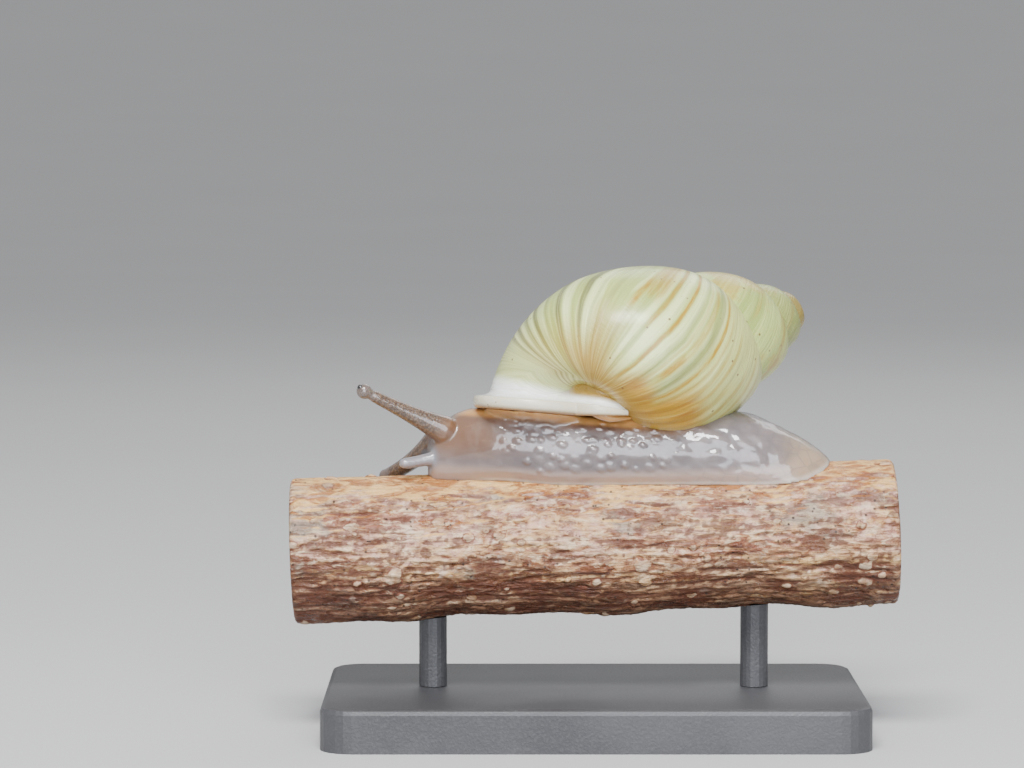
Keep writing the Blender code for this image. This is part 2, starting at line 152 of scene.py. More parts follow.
def vertex_table(obj, kind):
    """Coordinates ("co") or normals ("normal") of the vertices, a row each."""
    values = np.empty(len(obj.data.vertices) * 3)
    obj.data.vertices.foreach_get(kind, values)
    return values.reshape(-1, 3)


def face_outwards(obj, middle):
    """Turns an open sheet so that its faces look away from a middle point."""
    centres = np.array([p.center for p in obj.data.polygons]) / MM
    ways = np.array([p.normal for p in obj.data.polygons])
    if np.sum((centres - middle) * ways) < 0:
        obj.data.flip_normals()


def recalculate(obj):
    """Turns the faces of a closed body outwards."""
    bm = bmesh.new()
    bm.from_mesh(obj.data)
    bmesh.ops.recalc_face_normals(bm, faces=bm.faces)
    bm.to_mesh(obj.data)
    bm.free()


def ramp(x, low, high):
    """0 below low, 1 above high, smooth between."""
    w = np.clip((np.asarray(x, float) - low) / (high - low), 0, 1)
    return w * w * (3 - 2 * w)


# -------- materials
class Look:
    """A Principled material and the nodes that feed its colour, roughness and bump."""

    def __init__(self, name, **constants):
        self.mat = bpy.data.materials.new(name)
        self.mat.use_nodes = True
        self.tree = self.mat.node_tree
        self.shader = self.tree.nodes["Principled BSDF"]
        for key, value in constants.items():
            self.shader.inputs[key.replace("_", " ")].default_value = value
        self.place = self.node("ShaderNodeTexCoord").outputs["Object"]

    def node(self, kind, inputs=(), **props):
        made = self.tree.nodes.new(kind)
        for key, value in props.items():
            setattr(made, key, value)
        for key, value in dict(inputs).items():
            if isinstance(value, bpy.types.NodeSocket):
                self.tree.links.new(value, made.inputs[key])
            else:
                made.inputs[key].default_value = value
        return made

    def values(self, *names):
        """The numbers that paint has stored under these names."""
        return [self.node("ShaderNodeAttribute", attribute_name=name).outputs["Fac"] for name in names]

    def math(self, operation, a, b=0.0, c=0.0, clamp=False):
        return self.node("ShaderNodeMath", {0: a, 1: b, 2: c}, operation=operation,
                         use_clamp=clamp).outputs[0]

    def times(self, a, *others):
        for other in others:
            a = self.math("MULTIPLY", a, other)
        return a

    def plus(self, a, b):
        return self.math("ADD", a, b)

    def larger(self, a, b):
        return self.math("MAXIMUM", a, b)

    def linear(self, x, factor, offset, clamp=False):
        return self.math("MULTIPLY_ADD", x, factor, offset, clamp)

    def step(self, x, low, high, top=1.0):
        """Smooth step of a socket between low and high, reaching top."""
        return self.node("ShaderNodeMapRange", {"Value": x, "From Min": low, "From Max": high,
                                                "To Max": top},
                         interpolation_type="SMOOTHSTEP").outputs[0]

    def parted(self, vector):
        return self.node("ShaderNodeSeparateXYZ", {0: vector}).outputs

    def spread(self, vector, scale):
        """Vector and scale for a texture, whose scale may be one number or one for each axis."""
        if isinstance(scale, tuple):
            vector = self.node("ShaderNodeVectorMath", {0: vector, 1: scale},
                               operation="MULTIPLY").outputs[0]
            scale = 1.0
        return {"Vector": vector, "Scale": scale}

    def noise(self, vector, scale=1.0, detail=3.0, rough=0.5, bent=0.0):
        return self.node("ShaderNodeTexNoise", {**self.spread(vector, scale), "Detail": detail,
                                                "Roughness": rough, "Distortion": bent}).outputs["Fac"]

    def cells(self, vector, scale=1.0, feature="F1"):
        return self.node("ShaderNodeTexVoronoi", self.spread(vector, scale),
                         feature=feature).outputs["Distance"]

    def streaks(self, a, b, per_a, per_b, detail=3.0, rough=0.5, seed=0.0):
        """Noise over two measures of the surface, with so many features to a unit of each."""
        inputs = {0: self.times(a, per_a), 1: self.times(b, per_b), 2: seed}
        return self.noise(self.node("ShaderNodeCombineXYZ", inputs).outputs[0], 1.0, detail, rough)

    def specks(self, scale, far, near, rarity, detail, low, high):
        """Scattered round specks, kept only where a coarser noise is high."""
        kept = self.step(self.noise(self.place, rarity, detail), low, high)
        return self.times(self.step(self.cells(self.place, scale), far, near), kept)

    def mix(self, factor, a, b):
        made = self.node("ShaderNodeMix", {"Factor": factor}, data_type="RGBA")
        for socket, value in ((made.inputs[6], a), (made.inputs[7], b)):
            if isinstance(value, bpy.types.NodeSocket):
                self.tree.links.new(value, socket)
            else:
                socket.default_value = (*value, 1.0)
        return made.outputs[2]

    def tint(self, colour, *layers):
        """Lays tints over a colour, each where its mask steps from low to high, up to a strength,
        and where a further mask, if one is given, lets it be."""
        for mask, low, high, strength, over, *within in layers:
            share = self.times(self.step(mask, low, high, strength), *within)
            colour = self.mix(share, colour, over)
        return colour

    def bump(self, height, distance, strength=1.0, under=None):
        inputs = {"Height": height, "Distance": distance * MM, "Strength": strength}
        if under is not None:
            inputs["Normal"] = under
        return self.node("ShaderNodeBump", inputs).outputs[0]

    def finish(self, colour, rough=None, normal=None):
        for key, value in (("Base Color", colour), ("Roughness", rough), ("Normal", normal)):
            if value is not None:
                self.tree.links.new(value, self.shader.inputs[key])
        return self.mat


def dress(obj, mat, slot, *nodes):
    """Gives a new piece its material, hangs it under the root body and hides the solids it stands for.
    """
    obj.data.materials.clear()
    obj.data.materials.append(mat)
    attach(obj, "root")
    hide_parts(*nodes)


# -------- the coiled tube
AXIS = np.array([cos(AXIS_RISE) * cos(AXIS_TURN), cos(AXIS_RISE) * sin(AXIS_TURN), sin(AXIS_RISE)])
AXIS_UP = np.array([0, 0, 1]) - AXIS * AXIS[2]
AXIS_UP /= np.linalg.norm(AXIS_UP)
AXIS_SIDE = np.cross(AXIS, AXIS_UP)


def soft_power(value, power):
    """Signed power, rounded off near zero so that no keel shows."""
    return value * (value * value + 0.015) ** ((power - 1) / 2)


def section(t, phi):
    """Distance from the axis and place along it of the tube's wall, and the tube's size."""
    size = np.exp(-WIDENING * t + SLOWING * t * t)
    drawn = size ** DRAWN_OUT
    closing = 1.0 - (np.maximum(t - NUCLEUS, 0.0) / (APEX_END - NUCLEUS)) ** 2
    slim = (np.exp(-TAPER * np.maximum(0.0, t - TAPER_AT) ** 2)
            * np.sqrt(np.maximum(closing, 0.0)))
    full = np.exp(-((t - FULL_AT) / FULL_SPAN) ** 2)
    across = soft_power(np.cos(phi), 2 / TUBE_POWER)
    along = soft_power(np.sin(phi), 2 / TUBE_POWER)
    u = TUBE_A * size * slim * (1 + FULLER * full) * across * (1 + TUBE_SLANT * along)
    v = TUBE_B * drawn * slim * along
    radius = (TUBE_R * size * slim * (1 + FULLER_OUT * full)
              + u * cos(TUBE_TILT) - v * sin(TUBE_TILT))
    height = TUBE_Z * drawn + u * sin(TUBE_TILT) + v * cos(TUBE_TILT)
    size = size * slim
    clear = AXIS_CLEAR * size
    return (radius + np.sqrt(radius * radius + 4 * clear * clear)) / 2, height, size


def tube_point(t, phi):
    t, phi = np.broadcast_arrays(np.asarray(t, float), np.asarray(phi, float))
    radius, height, _ = section(t, phi)
    turn = END_ANGLE + 2 * pi * t
    return (APEX + height[..., None] * AXIS
            + (np.cos(turn)[..., None] * AXIS_UP + np.sin(turn)[..., None] * AXIS_SIDE)
            * radius[..., None])


def inside(t, phi, older):
    """Whether points of the tube lie within the tube some turns older, at the same angle."""
    radius, height, _ = section(t, phi)
    round_ = np.linspace(-pi, pi, 241)
    pr, ph, _ = section((t + older)[:, None], round_[None, :])
    r, h = radius[:, None], height[:, None]
    r0, r1, h0, h1 = pr[:, :-1], pr[:, 1:], ph[:, :-1], ph[:, 1:]
    crosses = (h0 > h) != (h1 > h)
    at = r0 + (h - h0) / np.where(h1 == h0, 1e-9, h1 - h0) * (r1 - r0)
    return (np.sum(crosses & (r < at), axis=1) % 2).astype(bool)


def bisect(low, high, steps, beyond):
    """Where a test turns true between low and high."""
    for _ in range(steps):
        mid = (low + high) / 2
        yes = beyond(mid)
        high, low = np.where(yes, mid, high), np.where(yes, low, mid)
    return high


def edge(t, start, way, older, reach=pi):
    """Angle at which the wall goes under an older or younger turn, looked for from start."""
    step = radians(3.0)
    found = np.full(t.shape, np.nan)
    before = np.broadcast_to(np.asarray(start, float), t.shape).copy()
    for _ in range(int(reach / step)):
        after = before + way * step
        hit = inside(t, after, older) & np.isnan(found)
        if hit.any():
            found = np.where(hit, bisect(before, after, 16, lambda mid: inside(t, mid, older)), found)
        before = after
    return found


def mouth_turn(phi):
    """Turn at which the tube's wall meets the sloping plane of the aperture."""
    def above(turn):
        x, y, z = np.moveaxis(tube_point(turn, phi), -1, 0)
        return (z - MOUTH_AT[2] - MOUTH_SLOPE * (x - MOUTH_AT[0])
                - MOUTH_TILT * (y - MOUTH_AT[1])) > 0

    return bisect(np.full(np.shape(phi), -0.17), np.full(np.shape(phi), 0.1), 30, above)


def rim_height(x, y):
    return RIM_AT[2] + RIM_SLOPE * (x - RIM_AT[0]) + RIM_TILT * (y - RIM_AT[1])


def growth_line(t, phi):
    """Age of the wall, as the turn at which its growth line crosses the middle of the whorl."""
    deg = np.degrees(phi)
    line = t + LINE_LEAN * deg + LINE_CURVE * np.maximum(deg, 0) ** 2
    # towards the base the lines of the youngest third sweep back and draw together
    low = np.clip(-deg, 0, SWEEP_END)
    sweep = SWEEP_EASY * low ** 2 + SWEEP_SHARP * (low / 70) ** 9
    share = sweep / (SWEEP_TO - SWEEP_FROM)
    between = (line - SWEEP_TO * share) / (1 - share)
    return np.where(line - sweep < SWEEP_FROM, line - sweep, np.where(line > SWEEP_TO, line, between))


def shell_sheet(name, ts, columns, from_mouth=False):
    """The exposed wall of the shell between two turns, as one smooth sheet."""
    top = edge(ts, 0.0, 1, 1.0)
    top = np.where(np.isnan(top), pi, top + radians(2.0))
    younger = edge(ts, np.minimum(top - radians(4.0), pi - 0.2), -1, -1.0, 2 * pi - 0.4)
    # below the youngest turn the wall runs round to its own foot; further back it ends in the suture
    tucked = np.clip((ts - TUCK_FROM) / TUCK_SPAN, 0, 1)
    base = np.where(np.isnan(younger), -pi, -pi + (younger - radians(3.0) + pi) * tucked)
    w = np.linspace(0, 1, columns)
    phi = base[:, None] + (top - base)[:, None] * w[None, :]
    t = np.broadcast_to(ts[:, None], phi.shape).copy()
    if from_mouth:
        first, last = ts[0], ts[-1]
        start = mouth_turn(phi[0])
        share = (last - ts) / (last - first)
        t = t + (start[None, :] - first) * share[:, None]
    points = tube_point(t, phi)
    obj = add_mesh(name, points.reshape(-1, 3), grid_faces(len(ts), columns))
    _, height, size = section(t, phi)
    middle = (APEX + height[..., None] * AXIS).reshape(-1, 3).mean(0)
    face_outwards(obj, middle)
    paint(obj, turns=t, growth=growth_line(t, phi), girth=np.degrees(phi) / 90,
          suture=(top[:, None] - phi) * size * TUBE_B * 0.8, mouth=t - mouth_turn(phi),
          rise=points[..., 2] - rim_height(points[..., 0], points[..., 1]))
    return obj


body_ts = np.linspace(BODY_FROM, BODY_TO, 330)
spire_ts = BODY_TO + (SPIRE_TO - BODY_TO) * np.linspace(0, 1, 900) ** 0.93
shell_body = shell_sheet("shell_body", body_ts, 220, from_mouth=True)
shell_spire = shell_sheet("shell_spire", spire_ts, 84)


# -------- lip
def mouth_ring(phi):
    return tube_point(mouth_turn(phi), phi)


MOUTH_MID = mouth_ring(np.radians(np.arange(0, 360, 15))).mean(0)


def outwards(phi):
    along = mouth_ring(phi + 0.05) - mouth_ring(phi - 0.05)
    out = np.array([along[1], -along[0], 0.0])
    out /= np.linalg.norm(out)
    return out if out @ (mouth_ring(phi) - MOUTH_MID) > 0 else -out


def bend(start, control, end, w):
    return start * (1 - w) ** 2 + np.array(control) * (2 * w * (1 - w)) + np.array(end) * w * w


def smooth_curve(points, parts):
    """Curve through the points (Catmull-Rom), with parts steps between neighbours."""
    p = np.vstack([2 * points[0] - points[1], points, 2 * points[-1] - points[-2]])
    out = []
    for i in range(1, len(p) - 2):
        for k in range(parts):
            w = k / parts
            out.append(0.5 * (2 * p[i] + (p[i + 1] - p[i - 1]) * w
                              + (2 * p[i - 1] - 5 * p[i] + 4 * p[i + 1] - p[i + 2]) * w * w
                              + (3 * p[i] - p[i - 1] - 3 * p[i + 1] + p[i + 2]) * w ** 3))
    return np.array(out + [p[-2]])


def lip_section(above, top, rim, out, stout=1.0):
    """Section of the lip: down the end of the whorl, out to the rounded rim, back inside."""
    down = np.array([0.0, 0.0, 1.0])
    reach = np.array([rim[0] - top[0], rim[1] - top[1], 0.0])
    drop = top[2] - rim_height(rim[0], rim[1]) - RIM_THICK * stout / 2
    ring = [*above]
    for k in range(9):
        turn = pi / 2 * k / 8
        ring.append(top + reach * (1 - cos(turn)) - down * drop * sin(turn))
    rim_edge = ring[-1]
    for step, fall in ((0.06, 0.03), (0.12, 0.18), (0.15, 0.45), (0.11, 0.75), (-0.02, 0.97),
                       (-0.22, 1.0), (-0.47, 0.85)):
        ring.append(rim_edge + out * step * stout - down * RIM_THICK * stout * fall)
    ring.append(top - out * LIP_THICK - down * drop * 0.45)
    ring.append(top - out * LIP_THICK)
    return smooth_curve(np.array(ring), 3)


LIP_ROWS, FOLD_ROWS = 150, 70


def make_lip():
    """The lip from the far end of the aperture round to the fold that runs onto the last whorl."""
    rows, callus_of = [], []
    last, last_out = mouth_ring(LIP_TO), outwards(LIP_TO)
    for k in range(LIP_ROWS + FOLD_ROWS):
        w = max(0.0, (k - LIP_ROWS + 1) / FOLD_ROWS)
        phi = LIP_FROM + (LIP_TO - LIP_FROM) * min(1.0, k / (LIP_ROWS - 1))
        out = outwards(phi)
        stout = sin(pi / 2 * min(1.0, 0.3 + k / LIP_ROWS * 22 / 7))
        top, back = mouth_ring(phi), mouth_turn(phi)
        above = [tube_point(back + d, phi) + out * 0.006 - top for d in (0.018, 0.012, 0.006)]
        rim = top + out * LIP_FLARE * stout
        callus = max(0.0, min(1.0, k / LIP_ROWS) * 4 - 3) * (1 - w)
        if w:
            top, rim = bend(last, *FOLD_TOP, w), bend(last + out * LIP_FLARE, *FOLD_RIM, w)
            stout = 1 - 0.62 * w ** 1.5
            out = (last_out * (1 - w) + np.array([0, -w, 0])) * stout
        # the fold spreads up over the umbilicus as a low cushion above its rounded crest
        spread = ramp(callus, 0.0, 0.25)
        over = [CALLUS * callus * 1.25 - out * 0.1, CALLUS * callus * 0.75,
                CALLUS * callus * 0.3 - out * 0.02]
        above = [top + a * (1 - spread) + o * spread for a, o in zip(above, over)]
        crest = out * 0.05 * spread * min(1.0, 3 * (1 - w))
        rows.append(lip_section(above, top + crest, rim, out, stout))
        callus_of.append(spread)
    rows = np.array(rows)
    n = rows.shape[1]
    obj = add_mesh("lip_and_fold", rows.reshape(-1, 3), grid_faces(len(rows), n))
    face_outwards(obj, MOUTH_MID)
    length, across = np.meshgrid(np.linspace(0, 1, len(rows)), np.linspace(0, 1, n), indexing="ij")
    paint(obj, across=across, length=length, callus=np.repeat(callus_of, n))
    return obj


shell_lip = make_lip()


# -------- perch
def perch_axis(x):
    return PERCH_Z + x * tan(PERCH_RISE)


def perch_top(x, y):
    return perch_axis(x) + np.sqrt(PERCH_R ** 2 - np.asarray(y) ** 2) / cos(PERCH_RISE)


def round_perch(x, r, a):
    """Points at a distance r from the branch's axis, at an angle a from its top."""
    return np.stack([x - r * np.cos(a) * sin(PERCH_RISE), r * np.sin(a),
                     perch_axis(x) + r * np.cos(a) * cos(PERCH_RISE)], -1)


def field(points, scale, octaves, seed):
    """Fractal noise at each point, about -1 to 1; scale is the size of its features."""
    return np.array([noise.fractal(Vector(p) / scale + Vector((seed, seed * 1.7, 0)), 1.0, 2.0, octaves)
                     for p in points])


def make_perch():
    rng = random.Random(5)
    half = PERCH_LEN / 2
    long_, around = 330, 272
    a = full_circle(around)
    X, A = np.meshgrid(np.linspace(-half, half, long_), a, indexing="ij")
    under = (1 - np.cos(A)) / 2
    r = PERCH_R + under * (0.1 * np.sin(0.55 * X + 1.0) + 0.07 * np.sin(1.3 * X + 2 * A))

    def uneven(along, *kind):
        """Noise over the bark, drawn out lengthwise where along is small."""
        points = np.stack([X * along, np.cos(A) * 3.3, np.sin(A) * 3.3], -1).reshape(-1, 3)
        return field(points, *kind).reshape(X.shape)

    # lengthwise wrinkles, and a coarser unevenness, both quiet on the top
    wavy, lumps, fine = uneven(0.13, 0.26, 3, 3.1), uneven(0.5, 1.1, 3, 8.7), uneven(1.0, 0.22, 2, 1.3)
    quiet = 1 - 0.55 * ramp(np.cos(A), 0.72, 0.95)
    r = r + (0.065 * wavy + 0.12 * (0.25 - np.abs(wavy)) + 0.055 * lumps + 0.032 * fine) * quiet
    lentil = np.zeros_like(r)
    for _ in range(LENTICELS):
        x0, a0 = rng.uniform(-half, half), rng.uniform(0, 2 * pi)
        long0 = rng.choice((0.16, 0.2, 0.25, 0.34)) * rng.uniform(0.8, 1.25)
        wide0 = long0 * rng.uniform(0.55, 0.9)
        if cos(a0) > 0.86 and -9 < x0 < 12:
            continue
        da = (A - a0 + pi) % (2 * pi) - pi
        d = np.sqrt(((X - x0) / long0) ** 2 + (da * PERCH_R / wide0) ** 2) + 0.45 * fine
        bump = np.clip(1 - d * d, 0, 1)
        lentil = np.maximum(lentil, np.clip(1.25 - d, 0, 1))
        r = r + rng.uniform(0.05, 0.11) * bump ** 0.8 - 0.03 * np.exp(-((d - 1.15) / 0.22) ** 2)
    near_end = np.minimum(half - np.abs(X), 0.25) / 0.25
    r = r - 0.12 * (1 - np.sqrt(np.clip(1 - (1 - near_end) ** 2, 0, 1)))
    points, faces = round_perch(X, r, A).reshape(-1, 3), grid_faces(long_, around, closed=True)
    # the cut ends, slightly dished: rings of smaller and smaller radius, and a middle point
    each = np.arange(around)
    following = (each + 1) % around
    for side, row in ((-1, 0), (1, long_ - 1)):
        ring = row * around + each
        for share in (0.93, 0.8, 0.62, 0.44, 0.28, 0.14):
            radius, dish = PERCH_R * share, 0.03 * (1 - share ** 2)
            new = len(points) + each
            inner = round_perch(np.full(around, side * half), radius, a) - (side * dish, 0, 0)
            points = np.vstack([points, inner])
            faces += np.stack([ring, ring[following], new[following], new], -1).tolist()
            ring = new
        faces += np.stack([ring, ring[following], np.full(around, len(points))], -1).tolist()
        points = np.vstack([points, (side * (half - 0.03), 0.0, perch_axis(side * half))])
    obj = add_mesh("perch_bark", points, faces)
    recalculate(obj)
    ends = (0, len(points) - X.size)
    # how low each point lies in the relief is stored for the painted shade in the hollows
    paint(obj, cut_end=np.arange(len(points)) >= X.size, lenticel=np.pad(lentil.ravel(), ends),
          hollow=np.pad((-np.abs(wavy) - 0.5 * fine + 0.5 * lumps).ravel(), ends))
    return obj


perch = make_perch()


# -------- flesh
def ease(x, column):
    """A column of the body's table at x, eased between its rows."""
    i = max(k for k in range(len(BODY) - 1) if BODY[k][0] <= x + 1e-9)
    (x0, y0), (x1, y1) = [(row[0], row[column]) for row in BODY[i:i + 2]]
    before, after = BODY[max(i - 1, 0)], BODY[min(i + 2, len(BODY) - 1)]
    m0 = (y1 - before[column]) / (x1 - before[0])
    m1 = (after[column] - y0) / (after[0] - x0)
    w, span = (x - x0) / (x1 - x0), x1 - x0
    return (y0 * (1 + 2 * w) * (1 - w) ** 2 + m0 * span * w * (1 - w) ** 2
            + y1 * w * w * (3 - 2 * w) + m1 * span * w * w * (w - 1))


def signed_power(value, power):
    return abs(value) ** power * (1 if value >= 0 else -1)


def flesh_ring(x, sides=56, sole=16, sink=0.05):
    """Section of the foot, neck and tail: up one flank, over the back, down, and along the sole."""
    half_sole, half, top = ease(x, 1), ease(x, 2), ease(x, 3)
    foot = float(perch_top(x, half_sole)) - sink
    ring = []
    for k in range(sides + 1):
        a = pi * (1 - k / sides)
        h = signed_power(sin(a), 2 / FLANK_POWER)
        spread = half_sole / half + (1 - half_sole / half) * min(1.0, h / 0.4) ** 0.7
        y = half * signed_power(cos(a), 2 / FLANK_POWER) * spread + LEAN * h
        z = foot + h * (top - foot)
        roof = rim_height(x, y) - RIM_THICK / 2 + 4 * max(0.0, x - ROOF_END)
        roof -= 0.1 * float(ramp(x, ROOF_START + 0.2, ROOF_START + 1.8) * (1 - ramp(x, -3.6, -1.6)))
        ring.append((x, y, z if x < ROOF_START else min(z, roof)))
    for k in range(1, sole):
        y = half_sole * (1 - 2 * k / sole)
        ring.append((x, y, float(perch_top(x, y)) - sink))
    return ring


def capped(rows):
    """Points and faces of a closed loft with a pole at each end."""
    rows = np.array(rows)
    n = rows.shape[1]
    faces = grid_faces(len(rows), n, closed=True)
    points = np.vstack([rows.reshape(-1, 3), rows[0].mean(0), rows[-1].mean(0)])
    first, last = len(points) - 2, len(points) - 1
    base = (len(rows) - 1) * n
    faces += [((i + 1) % n, i, first) for i in range(n)]
    faces += [(base + i, base + (i + 1) % n, last) for i in range(n)]
    return points, faces


def feeler_rows(base, tip, sag, radii):
    """Rings of a feeler: from inside the head along its sagging stalk, and round its knob."""
    base, tip = np.array(base), np.array(tip)
    at_base, at_middle, at_neck, at_knob = radii
    length = np.linalg.norm(tip - base)
    way = (tip - base) / length
    side = np.cross(way, (0, 0, 1))
    side /= np.linalg.norm(side)
    up = np.cross(side, way)
    knob = at_knob / length
    a = full_circle(28)[:, None]
    circle = np.cos(a) * side + np.sin(a) * up
    rows = [base - way * 0.5 + circle * at_base * 0.8]
    knobbed = at_knob > 1.2 * at_neck
    stalk_end, low = (1.6, -50) if knobbed else (0.2, -6)
    for u in np.linspace(0, 1 - stalk_end * knob, 60):
        r = at_neck + (at_middle - at_neck) * (1 - u) + (at_base - at_middle) * 1.25 * (1 - u) ** 3
        middle = base + (tip - base) * u
        middle[2] -= sag * sin(pi * u)
        rows.append(middle + circle * r)
    for k in range(14):
        b = radians(low + (82 - low) * k / 13)
        rows.append(tip + way * at_knob * sin(b) + circle * at_knob * cos(b))
    return rows


def collar_rows():
    """Mantle in the aperture, with the flange that shows under the lip."""
    chord_end = radians(205)
    near, far = mouth_ring(LIP_FROM), mouth_ring(chord_end)
    ring = []
    for phi in full_circle(120):
        w = (phi - LIP_FROM) / (chord_end - LIP_FROM)
        ring.append(near + (far - near) * w if 0 < w < 1 else mouth_ring(phi))
    ring = np.array(ring)
    foot = -RIM_THICK / 2
    profile = [(COLLAR_PLUG * 0.9, COLLAR_RISE), (COLLAR_PLUG, COLLAR_RISE - 0.1),
               (COLLAR_PLUG, foot + 0.05)]
    profile += [(COLLAR_FLANGE - inwards, foot + lift) for inwards, lift in (
        (0.02, 0.03), (0.01, -0.04), (0.04, -0.13), (0.1, -0.24), (0.2, -0.38), (0.36, -0.52))]
    rows = []
    for scale, lift in profile:
        p = MOUTH_MID + (ring - MOUTH_MID) * scale
        p[:, 2] = rim_height(p[:, 0], p[:, 1]) + lift
        rows.append(p)
    return rows


def mantle_rows():
    """Mantle edge that follows the underside of the fold, and closes the slot below it."""
    a = full_circle(24)[:, None]
    oval = np.cos(a) * np.array([0, 1.5, 0]) + np.sin(a) * np.array([0, 0, 1.0])
    earlier = LIP_TO + radians(16)
    start = mouth_ring(LIP_TO) + outwards(LIP_TO) * LIP_FLARE
    before = mouth_ring(earlier) + outwards(earlier) * LIP_FLARE
    rows = []
    for k in range(42):
        w = k / 34 - MANTLE_EARLY
        share = max(0.0, -w / 0.35)
        p = bend(start, *FOLD_RIM, w) if w >= 0 else start * (1 - share) + before * share
        inwards = 0.62 + 0.6 * (1 - min(1.0, (w + MANTLE_EARLY) * 3))
        p = p + np.array([0.0, inwards, -RIM_THICK / 2 - 0.04])
        r = MANTLE_RUN * min(1.0, 0.2 + (w + MANTLE_EARLY) * 5, 0.1 + (1.1 - w) * 2.2)
        rows.append(p + oval * r)
    return rows


def join_as(name, parts):
    points, faces, offset = [], [], 0
    for part_points, part_faces in parts:
        points.append(part_points)
        faces += [tuple(i + offset for i in f) for f in part_faces]
        offset += len(part_points)
    return add_mesh(name, np.vstack(points), faces)


def apply_modifiers(obj):
    graph = bpy.context.evaluated_depsgraph_get()
    mesh = bpy.data.meshes.new_from_object(obj.evaluated_get(graph))
    obj.modifiers.clear()
    obj.data = mesh


def above_perch(p):
    return p[:, 2] - perch_top(p[:, 0], np.clip(p[:, 1], -FLANK, FLANK))


def wet_band(p):
    """Where the flanks carry raised tubercles: 1 along the foot's sides, fading all round."""
    x, z = p[:, 0], p[:, 2]
    return (ramp(x, -5.0, -3.6) * (1 - ramp(x, 8.8, 10.0)) * ramp(above_perch(p), 0.55, 0.95)
            * (1 - ramp(z, 14.25, 14.75) * ramp(x, -6, 2)))


def tubercles(p):
    """Height of the rounded tubercles, from the distance to their nearest and next seeds."""
    rng = random.Random(11)
    side = np.where(p[:, 1] < LEAN / 2, -1.0, 1.0)
    around = side * (np.abs(p[:, 1] - LEAN / 2) * 0.55 + (15.3 - p[:, 2]))
    rear = ramp(p[:, 0], COARSER_FROM, COARSER_TO)
    high = np.zeros(len(p))
    for coarse, share in ((1.0, 1 - rear), (COARSER, rear)):
        along, girth = TUBERCLE * TUBERCLE_LONG * coarse, TUBERCLE * coarse
        seeds = []
        for i in range(int(22 / along)):
            for j in range(int(12 / girth)):
                forward, down = [rng.uniform(-TUBERCLE_SHIFT, TUBERCLE_SHIFT) for _ in range(2)]
                seeds.append((-9 + along * (i + 0.5 * (j % 2) + forward), -6 + girth * (j + down),
                              rng.choice((0.15, 0.5, 0.7, 0.9, 1.0)), rng.uniform(0.28, 0.46)))
        tree = kdtree.KDTree(len(seeds))
        for i, (s, g, _, _) in enumerate(seeds):
            tree.insert(Vector((s / TUBERCLE_LONG, g, 0)), i)
        tree.balance()
        for k in np.nonzero(share > 0)[0]:
            x, g = p[k, 0], around[k]
            (_, i, d1), (_, _, d2) = tree.find_n(
                Vector(((x + TUBERCLE_SLANT * g) / TUBERCLE_LONG, g, 0)), 2)
            _, _, tall, round_ = seeds[i]
            dome = max(0.0, 1 - (d1 / girth / round_) ** 2) ** 0.75
            gap = min(1.0, (d2 - d1) / girth / 1.2)
            plate = gap * gap * (3 - 2 * gap) * (0.25 + 0.5 * tall)
            high[k] += share[k] * (plate if coarse > 1 else 0.85 * tall * dome + 0.15 * plate)
    return high


def make_skin():
    xs = np.concatenate([np.linspace(-7.72, -6.9, 14), np.linspace(-6.8, 9.9, 150),
                         np.linspace(9.98, 11.0, 16)])
    lofts = [[flesh_ring(x) for x in xs], collar_rows(), mantle_rows()]
    lofts += [feeler_rows(*values) for values in FEELERS.values()]
    obj = join_as("skin", [capped(rows) for rows in lofts])
    recalculate(obj)
    remesh = obj.modifiers.new("remesh", "REMESH")
    remesh.mode = "VOXEL"
    remesh.voxel_size = SKIN_VOXEL * MM
    remesh.use_smooth_shade = True
    smooth = obj.modifiers.new("smooth", "SMOOTH")
    smooth.factor, smooth.iterations = 0.5, 6
    apply_modifiers(obj)
    p, n = vertex_table(obj, "co") / MM, vertex_table(obj, "normal")
    feeler, bulb, lower, high = np.zeros((4, len(p)))
    for key, (base, tip, _, radii) in FEELERS.items():
        base, tip = np.array(base), np.array(tip)
        way = tip - base
        u = np.clip((p - base) @ way / (way @ way), 0, 1.1)
        off = np.linalg.norm(p - base - u[:, None] * way, axis=1)
        close = (1 - ramp(off, radii[0] + 0.05, radii[0] + 0.35)) * ramp(u, 0.0, 0.18)
        if "upper" in key:
            feeler = np.maximum(feeler, close)
            away = np.linalg.norm(p - tip, axis=1)
            bulb = np.maximum(bulb, 1 - ramp(away, radii[3] * 1.1, radii[3] * 1.9))
        else:
            lower = np.maximum(lower, close)
    band = wet_band(p)
    on = band > 0.001
    high[on] = tubercles(p[on])
    soft = field(p, 0.9, 3, 4.4) * (1 - np.maximum(feeler, lower))
    p = p + n * (TUBERCLE_HIGH * (high - 0.45) * band + 0.018 * soft)[:, None]
    obj.data.vertices.foreach_set("co", (p * MM).ravel())
    obj.data.update()
    under_lip = rim_height(p[:, 0], p[:, 1]) - RIM_THICK / 2 - p[:, 2]
    paint(obj, band=band, knob=high * band, above=above_perch(p), under_lip=under_lip,
          feeler=feeler, lower=lower, bulb=bulb)
    return obj


skin = make_skin()


def make_eye(name, base, tip, knob, side):
    """Small dark bead, half sunk in the knob of its feeler and turned up and outwards."""
    way = (Vector(tip) - Vector(base)).normalized()
    look = (way + Vector((0, side * 0.45, 0.55))).normalized()
    middle = Vector(tip) + look * (knob - EYE_R * 0.62)
    bm = bmesh.new()
    bmesh.ops.create_uvsphere(bm, u_segments=48, v_segments=32, radius=EYE_R * MM)
    for f in bm.faces:
        f.smooth = True
    mesh = bpy.data.meshes.new(name)
    bmesh.ops.translate(bm, verts=bm.verts, vec=middle * MM)
    bm.to_mesh(mesh)
    bm.free()
    return add_object(name, mesh)


